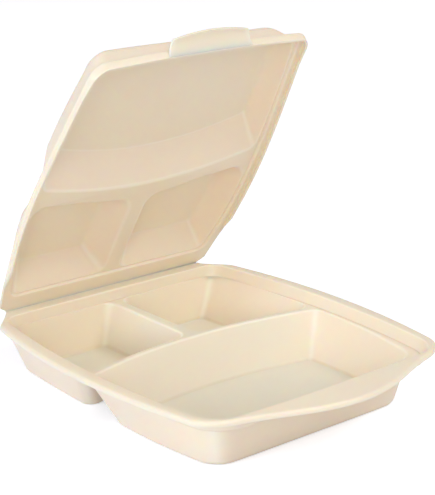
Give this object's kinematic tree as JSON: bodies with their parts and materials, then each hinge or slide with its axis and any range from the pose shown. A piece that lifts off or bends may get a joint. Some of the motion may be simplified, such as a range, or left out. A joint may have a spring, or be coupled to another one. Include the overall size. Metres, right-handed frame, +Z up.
{
  "type": "hinged meal box",
  "caption": "Takeaway meal box formed from one foamed sheet: a tray with three cups and a fold-over lid with matching pans, standing open.",
  "frame": {"origin": "on the floor, at the middle of the large cup's underside", "axes": "X along the fold, -Y towards the tray's front lip, +Z up; the lid stands open above the back of the tray"},
  "size_m": [0.2408, 0.2802, 0.2584],
  "materials": {
    "foamed_sheet": "satin"
  },
  "bodies": {
    "tray": {"base_tray": "foamed_sheet"},
    "lid": {"lid": "foamed_sheet"}
  },
  "joints": [
    {"name": "lid_fold", "type": "hinge", "parent": "tray", "child": "lid", "pos_m": [0, 0.18, 0.043], "axis": [-1, 0, 0], "range_deg": [-58.7, 121.3]}
  ]
}
